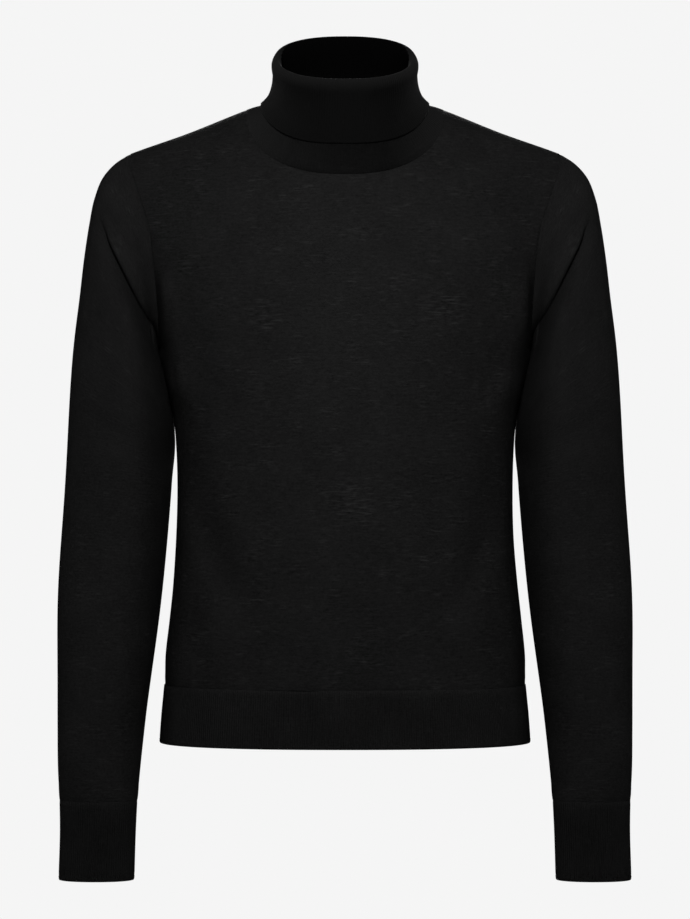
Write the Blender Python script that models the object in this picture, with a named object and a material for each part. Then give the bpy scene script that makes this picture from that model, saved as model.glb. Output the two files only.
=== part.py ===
"""A fine-knit turtleneck sweater, filled out as worn and open at the neck, hem and cuffs.

Frame: +Z up, the front faces -Y and the wearer's left is +X. The origin is on the middle line of
the body, level with the points where the shoulders meet the neck. The tables and constants are in
millimetres, and make_object turns them into metres.
Every piece is a wall: a middle surface, worked out from a table of sections, moved half the cloth's
thickness each way. Pieces that meet share their edge points, less the seam gap.
"""

from collections import namedtuple

import bmesh
import bpy
import numpy as np

MM = 0.001

# Cloth
JERSEY = 1.6  # thickness of the plain knit
RIB = 2.0  # thickness of the 1x1 rib
SEAM_GAP = 0.5  # along the surface, which leaves about 0.4 across a bent seam
ARMHOLE_GAP = 1  # the cloth bends most at the armhole, which leaves about 0.3 across it

# Places along the body
HEM_Z = -633.5
HEM_RIB_TOP_Z = -576
UNDERARM_Z = -242
SHOULDER_X = 214  # where the shoulder seam meets the sleeve
NECK_X = 98  # where it meets the collar

# The shoulder line in front view: it falls by SHOULDER_SLOPE from where it crosses height 0
SHOULDER_SLOPE = 0.393
SHOULDER_ZERO_X = 89.5
SHOULDER_BLEND = 45  # rounds the line's peak, inside the neck

# How far below the shoulder line the front and back reach their full depth
FRONT_ROUND = 190
BACK_ROUND = 122

# Mesh steps
PANEL_COLUMNS = 16  # across the front or the back; the collar has twice as many
BODY_ROWS = 9  # from the hem rib up to the underarm
ARMHOLE_ROWS = 10  # from the underarm up to the shoulder point; a sleeve has twice as many columns
YOKE_ROWS = 5  # from the shoulder point in to the neckline
CAP_ROWS = 10  # from the armhole to the level where the sleeve hangs free
ARM_ROWS = 9  # from there down to the cuff
RIB_ROWS = 2

# Level sections of the body, as if it had no shoulder slope or armholes. square is the section's
# exponent: 2 is an ellipse and more is boxier.
Section = namedtuple("Section", "z half_width front_y back_y square")
SECTIONS = (
    Section(HEM_Z, 184.2, -113, 113, 2.35),
    Section(-604, 182, -112.5, 112, 2.35),
    Section(HEM_RIB_TOP_Z, 179.5, -112, 110, 2.35),
    Section(-552, 179.3, -112, 108, 2.35),
    Section(-512, 174.9, -110.5, 104, 2.35),
    Section(-472, 170.4, -109.5, 100.5, 2.35),
    Section(-432, 167.3, -109, 97.5, 2.35),
    Section(-392, 166.3, -109.5, 96, 2.35),
    Section(-340, 167.8, -112, 97, 2.35),
    Section(-290, 172.6, -115.5, 101.5, 2.35),
    Section(UNDERARM_Z, 184, -118, 106, 2.35),
    Section(-226, 189.5, -118.3, 107, 2.4),
    Section(-192, 203, -118.5, 108.5, 2.4),
    Section(-143, 226.5, -118, 110, 2.4),
    Section(-100, 246, -117, 109, 2.4),
    Section(-60, 250, -116, 107, 2.4),
    Section(20, 250, -114, 104, 2.4),
)

# The armhole seam in front view, on front and back alike
Seam = namedtuple("Seam", "z x")
ARMHOLE = (
    Seam(UNDERARM_Z, 184),
    Seam(-226, 184.3),
    Seam(-192, 185),
    Seam(-165, 187),
    Seam(-143, 189),
    Seam(-122, 192.5),
    Seam(-100, 200),
    Seam(-79, 207),
    Seam(-61, 213),
    Seam(-46.7, SHOULDER_X),
)

# A row of points across the front or back. In front view it is part of a superellipse of exponent
# ROW_SQUARE, from its end to its middle: start is 0 where the end is the superellipse's own widest
# point. crowding moves its points out towards its ends, where the cloth turns away.
Row = namedtuple("Row", "end_x end_z front_z back_z start crowding")
ROW_SQUARE = 2.35
SHOULDER_FRONT_Z = -127  # the middle heights of the row that ends on the shoulder points
SHOULDER_BACK_Z = -83
NECKLINE_FRONT_Z = -73.5
NECKLINE_BACK_Z = -14
SHOULDER_CROWDING = 1.6
NECKLINE_CROWDING = 1.8

# One ring of a sleeve, from the armhole to the end of the cuff. It runs from a point on the outer
# line of the arm to a point on the inner one, and has a depth to the front and to the back of mid_y.
Ring = namedtuple("Ring", "outer_x outer_z inner_x inner_z front_depth back_depth mid_y")
RINGS = (
    Ring(SHOULDER_X, -46.7, 184, UNDERARM_Z, 66, 68, 0),
    Ring(228.5, -56.5, 186.4, -242.2, 65, 67, -6),
    Ring(240.3, -70.5, 186.2, -246.5, 63, 65, -13),
    Ring(248.3, -91, 184.4, -253.5, 61, 63, -19),
    Ring(253.9, -119, 181.2, -263, 60, 62, -24),
    Ring(258.9, -152, 177, -277, 59, 61, -27),
    Ring(263.3, -193, 172.8, -294, 58, 60, -28),
    Ring(268.2, -236, 170.6, -314, 57, 58, -27),
    Ring(272.7, -286, 171.3, -336, 56, 56, -24),
    Ring(277.5, -350, 173.6, -366, 53, 53, -20),
    Ring(281.9, -430, 179.6, -434, 48, 48, -16),
    Ring(284.3, -500, 186.3, -501, 44, 44, -15),
    Ring(284.8, -560, 192.9, -560, 40, 40, -17),
    Ring(284.4, -620, 200, -620, 35, 36, -21),
    Ring(283.6, -665, 205, -665, 31, 31, -25),
    Ring(282.2, -689, 207.3, -689, 27.5, 27.5, -27),
    Ring(281.6, -712, 208.5, -712, 26, 26, -28.5),
    Ring(282.8, -768, 210.2, -768, 26, 26, -31),
)
CAP_END_RING = 8  # below this ring the sleeve hangs free of the armhole's shape
CUFF_TOP_RING = 15
ARM_SQUARE = 2.15

# One ring of the collar's rib above the neckline: up inside, over the top and down outside. Its
# widest points, front and back each have a height.
Hoop = namedtuple("Hoop", "half_width side_z front_y front_z back_y back_z square fall")
COLLAR = (
    Hoop(91, -0.5, -98, -64, 74.5, -5, 2.9, 1.8),
    Hoop(84, 1.5, -94, -52, 73.5, 4.5, 2.8, 1.7),
    Hoop(77, 5.5, -89.5, -39, 71.5, 15, 2.7, 1.55),
    Hoop(71, 13, -85, -25, 69, 28, 2.5, 1.4),
    Hoop(67, 24, -80.5, -9, 66, 43, 2.3, 1.2),
    Hoop(65, 36, -77, 4.5, 63, 58, 2.2, 1.05),
    Hoop(64.6, 46, -75.5, 14.5, 61, 72, 2.3, 1),
    Hoop(68.2, 50.3, -79.2, 20.5, 64.2, 78, 2.35, 1),
    Hoop(71.8, 46, -83, 14.5, 67.6, 72, 2.35, 1),
    Hoop(71.3, 34, -85, -3, 70.5, 56, 2.3, 1.05),
    Hoop(72.8, 21, -87.3, -20, 74, 39, 2.4, 1.2),
    Hoop(76.6, 11.2, -90, -33, 78, 24, 2.6, 1.45),
    Hoop(84.3, 4.6, -94.5, -43, 83.5, 11, 2.9, 1.55),
)

# One soft fold: a trough along a line in front view, with a low ridge on each side. facing is -1
# on the front and 1 on the back. width is from the trough's bottom to where it ends.
FOLD_RIDGE = 0.6  # how strongly the ridges stand out
FOLD_OVERRUN = 1.1  # a fold fades out this far along, as a share of its length
Fold = namedtuple("Fold", "facing x0 z0 x1 z1 width depth")
SLEEVE_FOLDS = (
    Fold(-1, 243, -112, 188, -228, 20, 9),
    Fold(1, 243, -118, 188, -232, 22, 8),
    Fold(-1, 268, -205, 182, -262, 22, 3.5),
)
BODY_FOLDS = (
    Fold(-1, 166, -330, 112, -500, 30, 4),
    Fold(-1, -166, -330, -108, -500, 30, 4.5),
    Fold(-1, 150, -455, 146, -545, 22, 3),
    Fold(-1, -152, -440, -147, -535, 22, 3.5),
    Fold(1, 160, -320, 100, -470, 30, 4),
    Fold(1, -160, -320, -96, -480, 30, 4),
)

SMOOTH_ANGLE = np.radians(50)  # the walls' edges are sharper than this, and their faces aren't

BLACK_JERSEY = (0.0095, 0.0095, 0.0100, 1)
BLACK_RIB = (0.0060, 0.0060, 0.0064, 1)
JERSEY_ROUGHNESS = 0.85
RIB_ROUGHNESS = 0.9


def clear_scene():
    """Removes the objects that a new file starts with."""
    for scene_object in list(bpy.data.objects):
        bpy.data.objects.remove(scene_object, do_unlink=True)


def lengths_along(across, heights):
    """The running length at each point of a line that is given by two lists."""
    steps = np.hypot(np.diff(across), np.diff(heights))
    return np.concatenate(([0.0], np.cumsum(steps)))


def smooth(keys, values, at):
    """Reads a smooth curve through values that are given at keys."""
    keys, values, at = (np.asarray(numbers, dtype=float) for numbers in (keys, values, at))
    slopes = np.gradient(values, keys)
    i = np.clip(np.searchsorted(keys, at, side="right") - 1, 0, len(keys) - 2)
    span = keys[i + 1] - keys[i]
    t = np.clip((at - keys[i]) / span, 0, 1)
    start = values[i] * (1 + 2 * t) * (1 - t) ** 2 + slopes[i] * span * t * (1 - t) ** 2
    return start + values[i + 1] * t**2 * (3 - 2 * t) + slopes[i + 1] * span * t**2 * (t - 1)


def column(table, name, keys, at):
    """Reads one named column of a table between its rows."""
    return smooth(keys, [getattr(row, name) for row in table], at)


def section_value(name, height):
    """Reads a column of SECTIONS at a height."""
    return column(SECTIONS, name, [section.z for section in SECTIONS], height)


def between(first, second, share):
    """Numbers part of the way from the first ones to the second ones."""
    return [a + (b - a) * share for a, b in zip(first, second)]


def shoulder_height(x):
    """The shoulder line's height in front view."""
    zero = np.hypot(SHOULDER_ZERO_X, SHOULDER_BLEND)
    return SHOULDER_SLOPE * (zero - np.hypot(x, SHOULDER_BLEND))


def body_depth(x, height, depth_name, round_height):
    """Where the front or back surface lies, at a place given in front view."""
    square = section_value("square", height)
    share = np.clip(abs(x) / section_value("half_width", height), 0, 1)
    across = (1 - share**square) ** (1 / square)
    drop = np.clip((shoulder_height(x) - height) / round_height, 0, 1)
    return section_value(depth_name, height) * across * np.sqrt(1 - (1 - drop) ** 2)


def boxed_circle(angles, square):
    """The cosine and sine of a circle that is drawn out towards a square."""
    cosine, sine = np.cos(angles), np.sin(angles)
    reach = (abs(cosine) ** square + abs(sine) ** square) ** (-1 / square)
    return cosine * reach, sine * reach


def hoop_points(hoop, angles):
    """Points of a hoop. Angle 0 is at +X, a quarter turn at the front and half a turn at -X."""
    across, along = boxed_circle(angles, hoop.square)
    depth = np.where(along > 0, hoop.front_y, hoop.back_y)
    height = np.where(along > 0, hoop.front_z, hoop.back_z)
    rise = (height - hoop.side_z) * abs(along) ** hoop.fall
    return np.stack((hoop.half_width * across, depth * abs(along), hoop.side_z + rise), axis=-1)


def fade_out(value):
    """Falls smoothly from 1 at value 0 to 0 at value 1."""
    t = np.clip(value, 0, 1)
    return 1 - t * t * (3 - 2 * t)


def normals_of(grid, closed, sign):
    """Unit normals of a grid of points, closed or not across its columns."""
    if closed:
        across = np.roll(grid, -1, axis=1) - np.roll(grid, 1, axis=1)
    else:
        across = np.gradient(grid, axis=1)
    normals = sign * np.cross(across, np.gradient(grid, axis=0))
    return normals / np.linalg.norm(normals, axis=2, keepdims=True)


def folded(grid, normals, folds):
    """Presses the folds into a grid, along its normals."""
    pressed = grid.copy()
    for fold in folds:
        start, end = np.array([fold.x0, fold.z0]), np.array([fold.x1, fold.z1])
        along = end - start
        length = np.hypot(*along)
        offset = grid[..., (0, 2)] - start
        travel = offset @ along / length**2
        distance = (offset[..., 0] * along[1] - offset[..., 1] * along[0]) / length
        ends = fade_out(2 * abs(travel - 0.5) / FOLD_OVERRUN)
        squared = (2 * distance / fold.width) ** 2
        trough = (1 - FOLD_RIDGE * squared) * np.exp(-squared)
        facing = np.clip(fold.facing * normals[..., 1], 0, 1)
        pressed -= (fold.depth * trough * ends * facing)[..., None] * normals
    return pressed


def meet(first, second):
    """Gives two edges that meet the same normals, so that their walls end face to face."""
    shared = first + second
    shared /= np.linalg.norm(shared, axis=-1, keepdims=True)
    first[:] = shared
    second[:] = shared


def level_rows(heights):
    """Rows that run level around the body."""
    widths = section_value("half_width", heights)
    return [Row(width, z, z, z, 0, 1) for width, z in zip(widths, heights)]


def superellipse(share):
    """The other coordinate of a point on a superellipse of radius 1."""
    return (1 - np.clip(share, 0, 1) ** ROW_SQUARE) ** (1 / ROW_SQUARE)


def armhole_rows():
    """The rows that end on the armhole's edge, bottom to top."""
    rows = []
    top = shoulder_height(SHOULDER_X)
    for turn in np.linspace(np.pi, 0, ARMHOLE_ROWS + 1):
        share = (1 + np.cos(turn)) / 2
        front_z, back_z = between((UNDERARM_Z,) * 2, (SHOULDER_FRONT_Z, SHOULDER_BACK_Z), share)
        z = UNDERARM_Z + (top - UNDERARM_Z) * share
        x = column(ARMHOLE, "x", [seam.z for seam in ARMHOLE], z)
        start = superellipse(x / section_value("half_width", z))
        crowding = 1 + (SHOULDER_CROWDING - 1) * share
        rows.append(Row(x, z, front_z, back_z, start, crowding))
    return rows


def yoke_rows(shoulder_row):
    """The rows that end on the shoulder line, from the one at the shoulder points inward."""
    neckline = Row(
        NECK_X, shoulder_height(NECK_X), NECKLINE_FRONT_Z, NECKLINE_BACK_Z, 0, NECKLINE_CROWDING
    )
    rows = []
    for share in np.linspace(0, 1, YOKE_ROWS + 1)[1:]:
        row = Row(*between(shoulder_row, neckline, share))
        rows.append(row._replace(end_z=shoulder_height(row.end_x)))
    return rows


def panel_rows():
    """The rows of a panel above its rib."""
    heights = np.linspace(HEM_RIB_TOP_Z + SEAM_GAP / 2, UNDERARM_Z, BODY_ROWS + 1)[:-1]
    armhole = armhole_rows()
    return level_rows(heights) + armhole + yoke_rows(armhole[-1])


def panel_grid(rows, name):
    """The middle surface of the front or back over some rows, with its columns from left to right."""
    first, round_height = (0, FRONT_ROUND) if name == "front" else (np.pi, BACK_ROUND)
    grid = []
    for row in rows:
        limit = np.arctan2(row.start, superellipse(row.start))
        angles = np.linspace(first + limit, first + np.pi - limit, PANEL_COLUMNS + 1)
        across, along = boxed_circle(angles, ROW_SQUARE)
        fall = np.clip((abs(along) - row.start) / (1 - row.start), 0, 1) ** row.crowding
        reach = row.end_x / superellipse(row.start)
        x = np.sign(across) * reach * superellipse(row.start + (1 - row.start) * fall)
        z = row.end_z + (getattr(row, name + "_z") - row.end_z) * fall
        y = body_depth(x, z, name + "_y", round_height)
        y += SEAM_GAP / 2 if name == "back" else -SEAM_GAP / 2
        grid.append(np.stack((x, y, z), axis=-1))
    return np.array(grid)


def ring_points(ring, turns):
    """Points of a sleeve's ring. Turn 0 is on the outer line and a quarter turn at the front."""
    across, along = boxed_circle(turns, ARM_SQUARE)
    outer = np.array([ring.outer_x, ring.mid_y, ring.outer_z])
    inner = np.array([ring.inner_x, ring.mid_y, ring.inner_z])
    depth = np.where(along > 0, -ring.front_depth, ring.back_depth) * abs(along)
    points = (outer + inner) / 2 + across[:, None] * (outer - inner) / 2
    points[:, 1] += depth
    return points


def sleeve_keys():
    """The running length of each ring along the arm's outer line."""
    return lengths_along([r.outer_x for r in RINGS], [r.outer_z for r in RINGS])


def sleeve_grid(row_keys, loop):
    """The middle surface of a left sleeve, which starts at the armhole's loop of points."""
    keys = sleeve_keys()
    turns = np.arange(len(loop)) * 2 * np.pi / len(loop)
    start = ring_points(RINGS[0], turns)
    rows = []
    for key in row_keys:
        ring = Ring(*(column(RINGS, name, keys, key) for name in Ring._fields))
        hold = fade_out(key / keys[CAP_END_RING])
        rows.append(ring_points(ring, turns) + hold * (loop - start))
    return np.array(rows)


def make_object(name, grid, normals, closed, thickness, material):
    """A wall of the given thickness about a grid of points, as one closed mesh."""
    half = normals * thickness / 2
    row_count, column_count = grid.shape[:2]
    builder = bmesh.new()
    sides = []
    for points in (grid + half, grid - half):
        sides.append([[builder.verts.new(point * MM) for point in row] for row in points])
    outer, inner = sides
    last = column_count if closed else column_count - 1
    for side in sides:
        for r in range(row_count - 1):
            for c in range(last):
                d = (c + 1) % column_count
                builder.faces.new((side[r][c], side[r][d], side[r + 1][d], side[r + 1][c]))
    for r in (0, row_count - 1):
        for c in range(last):
            d = (c + 1) % column_count
            builder.faces.new((outer[r][c], outer[r][d], inner[r][d], inner[r][c]))
    if not closed:
        for c in (0, column_count - 1):
            for r in range(row_count - 1):
                builder.faces.new((outer[r][c], outer[r + 1][c], inner[r + 1][c], inner[r][c]))
    bmesh.ops.triangulate(builder, faces=builder.faces, quad_method="SHORT_EDGE")
    bmesh.ops.recalc_face_normals(builder, faces=builder.faces)
    mesh = bpy.data.meshes.new(name)
    builder.to_mesh(mesh)
    builder.free()
    mesh.shade_smooth()
    mesh.set_sharp_from_angle(angle=SMOOTH_ANGLE)
    mesh.materials.append(material)
    bpy.context.collection.objects.link(bpy.data.objects.new(name, mesh))


def make_material(name, colour, roughness):
    """A plain cloth material."""
    material = bpy.data.materials.new(name)
    material.use_nodes = True
    shader = material.node_tree.nodes["Principled BSDF"]
    shader.inputs["Base Color"].default_value = colour
    shader.inputs["Roughness"].default_value = roughness
    shader.inputs["Metallic"].default_value = 0
    return material


def body_grids():
    """The middle surfaces and normals of the front, the back and their hem ribs, by node name."""
    grids = {}
    for name in ("front", "back"):
        grids[name] = panel_grid(panel_rows(), name)
        rib_heights = np.linspace(HEM_Z, HEM_RIB_TOP_Z - SEAM_GAP / 2, RIB_ROWS + 1)
        grids["hem_rib_" + name] = panel_grid(level_rows(rib_heights), name)
    normals = {name: normals_of(grid, False, -1) for name, grid in grids.items()}
    for name in ("front", "back"):
        grids[name] = folded(grids[name], normals[name], BODY_FOLDS)
    for one, other in (("front", "back"), ("hem_rib_front", "hem_rib_back")):
        meet(normals[one][:, 0], normals[other][:, -1])
        meet(normals[one][:, -1], normals[other][:, 0])
    return grids, normals


def armhole_loop(front, back):
    """The left armhole's values of two panel grids, from the shoulder by way of the front."""
    rows = slice(BODY_ROWS, BODY_ROWS + ARMHOLE_ROWS + 1)
    front_edge, back_edge = front[rows, 0], back[rows, -1]
    loop = np.concatenate((front_edge[::-1], back_edge[1:-1]))
    loop[0] = (front_edge[-1] + back_edge[-1]) / 2
    loop[ARMHOLE_ROWS] = (front_edge[0] + back_edge[0]) / 2
    return loop


def neckline(front, back):
    """The neckline's values of two panel grids, from the left shoulder by way of the front."""
    ring = np.concatenate((front[-1, :-1], back[-1, :-1]))
    ring[0] = (front[-1, 0] + back[-1, -1]) / 2
    ring[PANEL_COLUMNS] = (front[-1, -1] + back[-1, 0]) / 2
    return ring


def set_armhole_loop(front, back, loop):
    """Puts the loop's normals back on both armholes of two panel grids."""
    rows = slice(BODY_ROWS, BODY_ROWS + ARMHOLE_ROWS + 1)
    half = ARMHOLE_ROWS + 1
    front_edge = loop[:half][::-1]
    back_edge = np.concatenate((loop[half - 1 :], loop[:1]))
    mirror = np.array([-1, 1, 1])
    front[rows, 0], back[rows, -1] = front_edge, back_edge
    front[rows, -1], back[rows, 0] = front_edge * mirror, back_edge * mirror


def sleeve_grids(loop, loop_normals):
    """The middle surfaces and normals of a left sleeve and its cuff."""
    keys = sleeve_keys()
    cap_end, cuff_top = keys[CAP_END_RING], keys[CUFF_TOP_RING]
    cap = np.linspace(0, cap_end, CAP_ROWS + 1)
    arm = np.linspace(cap_end, cuff_top - SEAM_GAP / 2, ARM_ROWS + 1)[1:]
    sleeve = sleeve_grid(np.concatenate((cap, arm)), loop)
    cuff = sleeve_grid(np.linspace(cuff_top + SEAM_GAP / 2, keys[-1], RIB_ROWS + 1), loop)
    step_off(sleeve, ARMHOLE_GAP)
    normals = normals_of(sleeve, True, 1)
    sleeve = folded(sleeve, normals, SLEEVE_FOLDS)
    meet(normals[0], loop_normals)
    return (sleeve, normals), (cuff, normals_of(cuff, True, 1))


def step_off(grid, gap):
    """Moves a closed grid's first row off its seam, square to the seam."""
    seam = np.roll(grid[0], -1, axis=0) - np.roll(grid[0], 1, axis=0)
    seam /= np.linalg.norm(seam, axis=1, keepdims=True)
    away = grid[1] - grid[0]
    away -= (away * seam).sum(axis=1, keepdims=True) * seam
    grid[0] += away * gap / np.linalg.norm(away, axis=1, keepdims=True)


def collar_grid(front, back):
    """The collar's middle surface, from the panels' top edges up."""
    angles = np.arange(2 * PANEL_COLUMNS) * np.pi / PANEL_COLUMNS
    grid = np.array([neckline(front, back)] + [hoop_points(hoop, angles) for hoop in COLLAR])
    step_off(grid, SEAM_GAP)
    return grid


def meet_neckline(front, back, collar):
    """Gives the panels' top edges and the collar's first row the same normals."""
    ring = neckline(front, back)
    meet(ring, collar[0])
    half = PANEL_COLUMNS
    front[-1] = ring[: half + 1]
    back[-1] = np.concatenate((ring[half:], ring[:1]))


def build():
    """Makes every piece."""
    clear_scene()
    jersey = make_material("black_jersey", BLACK_JERSEY, JERSEY_ROUGHNESS)
    rib = make_material("black_rib", BLACK_RIB, RIB_ROUGHNESS)

    grids, normals = body_grids()
    loop = armhole_loop(grids["front"], grids["back"])
    loop_normals = armhole_loop(normals["front"], normals["back"])
    sleeve, cuff = sleeve_grids(loop, loop_normals)
    set_armhole_loop(normals["front"], normals["back"], loop_normals)
    collar = collar_grid(grids["front"], grids["back"])
    collar_normals = normals_of(collar, True, -1)
    meet_neckline(normals["front"], normals["back"], collar_normals)

    for name in ("front", "back"):
        make_object(name, grids[name], normals[name], False, JERSEY, jersey)
    for name in ("hem_rib_front", "hem_rib_back"):
        make_object(name, grids[name], normals[name], False, RIB, rib)
    for side, mirror in (("left", 1), ("right", -1)):
        flip = np.array([mirror, 1, 1])
        make_object("sleeve_" + side, sleeve[0] * flip, sleeve[1] * flip, True, JERSEY, jersey)
        make_object("cuff_" + side, cuff[0] * flip, cuff[1] * flip, True, RIB, rib)
    make_object("collar", collar, collar_normals, True, RIB, rib)


build()
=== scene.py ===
"""The looks of a black fine-knit turtleneck sweater, filled out as worn.

Every piece is a thin wall of knitted cloth on the form of its CAD solid: the same sections, finely
stepped, with the folds, seams and ribs added. Tables and cloth sizes are in millimetres, and
make_piece turns them into metres. The front faces -Y and the wearer's left is +X.
"""

from collections import namedtuple

import bpy
import numpy as np
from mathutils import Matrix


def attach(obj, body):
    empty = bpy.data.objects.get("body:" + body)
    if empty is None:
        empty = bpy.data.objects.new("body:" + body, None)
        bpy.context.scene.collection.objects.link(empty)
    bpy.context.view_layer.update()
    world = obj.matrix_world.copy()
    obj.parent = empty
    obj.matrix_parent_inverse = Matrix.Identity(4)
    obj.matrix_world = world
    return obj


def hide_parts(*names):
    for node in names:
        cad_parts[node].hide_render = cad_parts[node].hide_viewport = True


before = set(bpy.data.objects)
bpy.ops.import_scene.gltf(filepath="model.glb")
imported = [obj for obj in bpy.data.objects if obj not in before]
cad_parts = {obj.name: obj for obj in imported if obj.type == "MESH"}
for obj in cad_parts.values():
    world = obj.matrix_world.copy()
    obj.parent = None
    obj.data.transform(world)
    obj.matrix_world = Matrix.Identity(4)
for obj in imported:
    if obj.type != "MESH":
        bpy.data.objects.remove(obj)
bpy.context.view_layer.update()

MM = 0.001

# Cloth
JERSEY = 1.4  # thickness of the plain knit
RIB = 1.8  # thickness of the 1x1 rib
SEAM_LAP = 0.04  # linked edges run this far into each other, so that no light shows through
SEAM_ROUND = 0.16  # how round the wall's end is on a seam. A free edge is fully round.
EDGE_TURNS = (0, 35, 75)  # the points of a wall's rounded edge, in degrees from its flank
EDGE_EXTRA = len(EDGE_TURNS) - 1  # rows that a rounded edge adds to its flank

# Places along the body, as in the CAD
HEM_Z = -633.5
HEM_RIB_TOP_Z = -576
UNDERARM_Z = -242
SHOULDER_X = 214
NECK_X = 98

# The shoulder line in front view: it falls by SHOULDER_SLOPE from where it crosses height 0
SHOULDER_SLOPE = 0.393
SHOULDER_ZERO_X = 89.5
SHOULDER_BLEND = 45
SHOULDER_SAG = 1.7  # how far the cloth lies below that line at SAG_X, and less beside it
SAG_X = 155
SAG_REACH = 60

# How far below the shoulder line the front and back reach their full depth
FRONT_ROUND = 190
BACK_ROUND = 122

# Mesh steps
PANEL_COLUMNS = 130
BODY_ROWS = 90
ARMHOLE_ROWS = 100
YOKE_ROWS = 26
CAP_ROWS = 120
ARM_ROWS = 80
RIB_STEPS = 4  # columns across one rib
CUFF_ROWS = 18
HEM_ROWS = 15
COLLAR_ROWS = (18, 12, 18)  # up inside, over the roll and down outside
CAST_OFF_ROWS = 5  # over a rib's cast-off edge
LENGTH_STEPS_ACROSS, LENGTH_STEPS_UP = 40, 60  # points along a length on the body's surface
LEVEL_X = 110  # past it, the lengths up the body are those at it

# What each kind of piece was cut to, in metres: its width and length, and its area where it isn't
# a rectangle. The lengths run along the cloth.
Cut = namedtuple("Cut", "width length area held", defaults=(None, "draped"))

# Knit. A fine merino jersey's stitches are about 1.3 mm wide and 0.95 mm high, and its 1x1 rib
# repeats every 2 mm. They are drawn a little coarser, so that they show in the render.
WALE = 1.6  # width of one stitch
COURSE = 1.15  # height of one stitch
RIB_PITCH = 2.4  # one knit and one purl wale
RIB_RELIEF = 0.42  # how far a rib stands above the middle of the cloth
CAST_OFF = 4  # depth of the chained rows that end a rib
CAST_OFF_RELIEF = 0.16
CAST_OFF_FLATTER = 0.6  # share of the rib's relief that is lost at its chained rows
ROUNDING = 1.01  # a row that lies this little past a limit still counts as on it

# How far cloth stands out beside a seam, by bumps of a height, at a distance from it
Bump = namedtuple("Bump", "height distance width")
LINKED_EDGE = (Bump(0.2, 4, 1.8), Bump(-0.6, 0, 2.2))  # a small valley, and a low ridge beside it
COLLAR_LINK = (Bump(0.4, 2.4, 1.3), Bump(-0.9, 0, 2))  # the same where the collar is linked on
RIB_START = (Bump(0.75, 0, 3),)  # share of a rib's relief that is lost on its seam
BLOUSE = (Bump(0.4, 7, 6),)  # jersey swells out beside the tighter rib that it is knitted on to
BLOUSE_INSET = 0.05

# How much of LINKED_EDGE shows on each seam
SLEEVE_LINK = 0.7
SIDE_LINK = 0.5
NECK_SIDE_LINK = 0.2
NECK_FRONT_LINK = 1.1  # added where the neckline crosses the front and back
NECK_FRONT_X, NECK_FRONT_FADE = 30, 70
LINK_END_Z, LINK_FADE = -130, 60  # the sleeves' and sides' fade out below here
LEAST_COLLAR_LINK = 0.2  # before it is squared, at the collar's sides

# How far from a seam the cloth moves freely
SLEEVE_FREE = 5
HEM_FREE = 20
NECK_FREE = 10
SIDE_FREE = 7

# The side of the body swells out below the underarm, where the arm holds its cloth
BULGE = 3.6
BULGE_TOP_Z, BULGE_GROWTH = UNDERARM_Z + 1, 7
BULGE_WIDTH = 9  # in from the side
BULGE_END_Z, BULGE_FADE = -265, 65

# Level sections of the body, as if it had no shoulder slope or armholes
Section = namedtuple("Section", "z half_width front_y back_y square")
SECTIONS = (
    Section(HEM_Z, 184.2, -113, 113, 2.35),
    Section(-604, 182, -112.5, 112, 2.35),
    Section(HEM_RIB_TOP_Z, 179.5, -112, 110, 2.35),
    Section(-552, 179.3, -112, 108, 2.35),
    Section(-512, 174.9, -110.5, 104, 2.35),
    Section(-472, 170.4, -109.5, 100.5, 2.35),
    Section(-432, 167.3, -109, 97.5, 2.35),
    Section(-392, 166.3, -109.5, 96, 2.35),
    Section(-340, 167.8, -112, 97, 2.35),
    Section(-290, 172.6, -115.5, 101.5, 2.35),
    Section(UNDERARM_Z, 184, -118, 106, 2.35),
    Section(-226, 189.5, -118.3, 107, 2.4),
    Section(-192, 203, -118.5, 108.5, 2.4),
    Section(-143, 226.5, -118, 110, 2.4),
    Section(-100, 246, -117, 109, 2.4),
    Section(-60, 250, -116, 107, 2.4),
    Section(20, 250, -114, 104, 2.4),
)

# The armhole seam in front view, on front and back alike
Seam = namedtuple("Seam", "z x")
ARMHOLE = (
    Seam(UNDERARM_Z, 184),
    Seam(-226, 184.3),
    Seam(-192, 185),
    Seam(-165, 187),
    Seam(-143, 189),
    Seam(-122, 192.5),
    Seam(-100, 200),
    Seam(-79, 207),
    Seam(-61, 213),
    Seam(-46.7, SHOULDER_X),
)

# A row of points across the front or back, from its end on the seam to its middle. In front view
# it is part of a superellipse; start is 0 where the end is the superellipse's own widest point.
# crowding moves its points out towards its ends.
Row = namedtuple("Row", "end_x end_z front_z back_z start crowding")
ROW_SQUARE = 2.35
SHOULDER_FRONT_Z = -127
SHOULDER_BACK_Z = -83
NECKLINE_FRONT_Z = -73.5
NECKLINE_BACK_Z = -14
SHOULDER_CROWDING = 1.6
NECKLINE_CROWDING = 1.8

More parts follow.
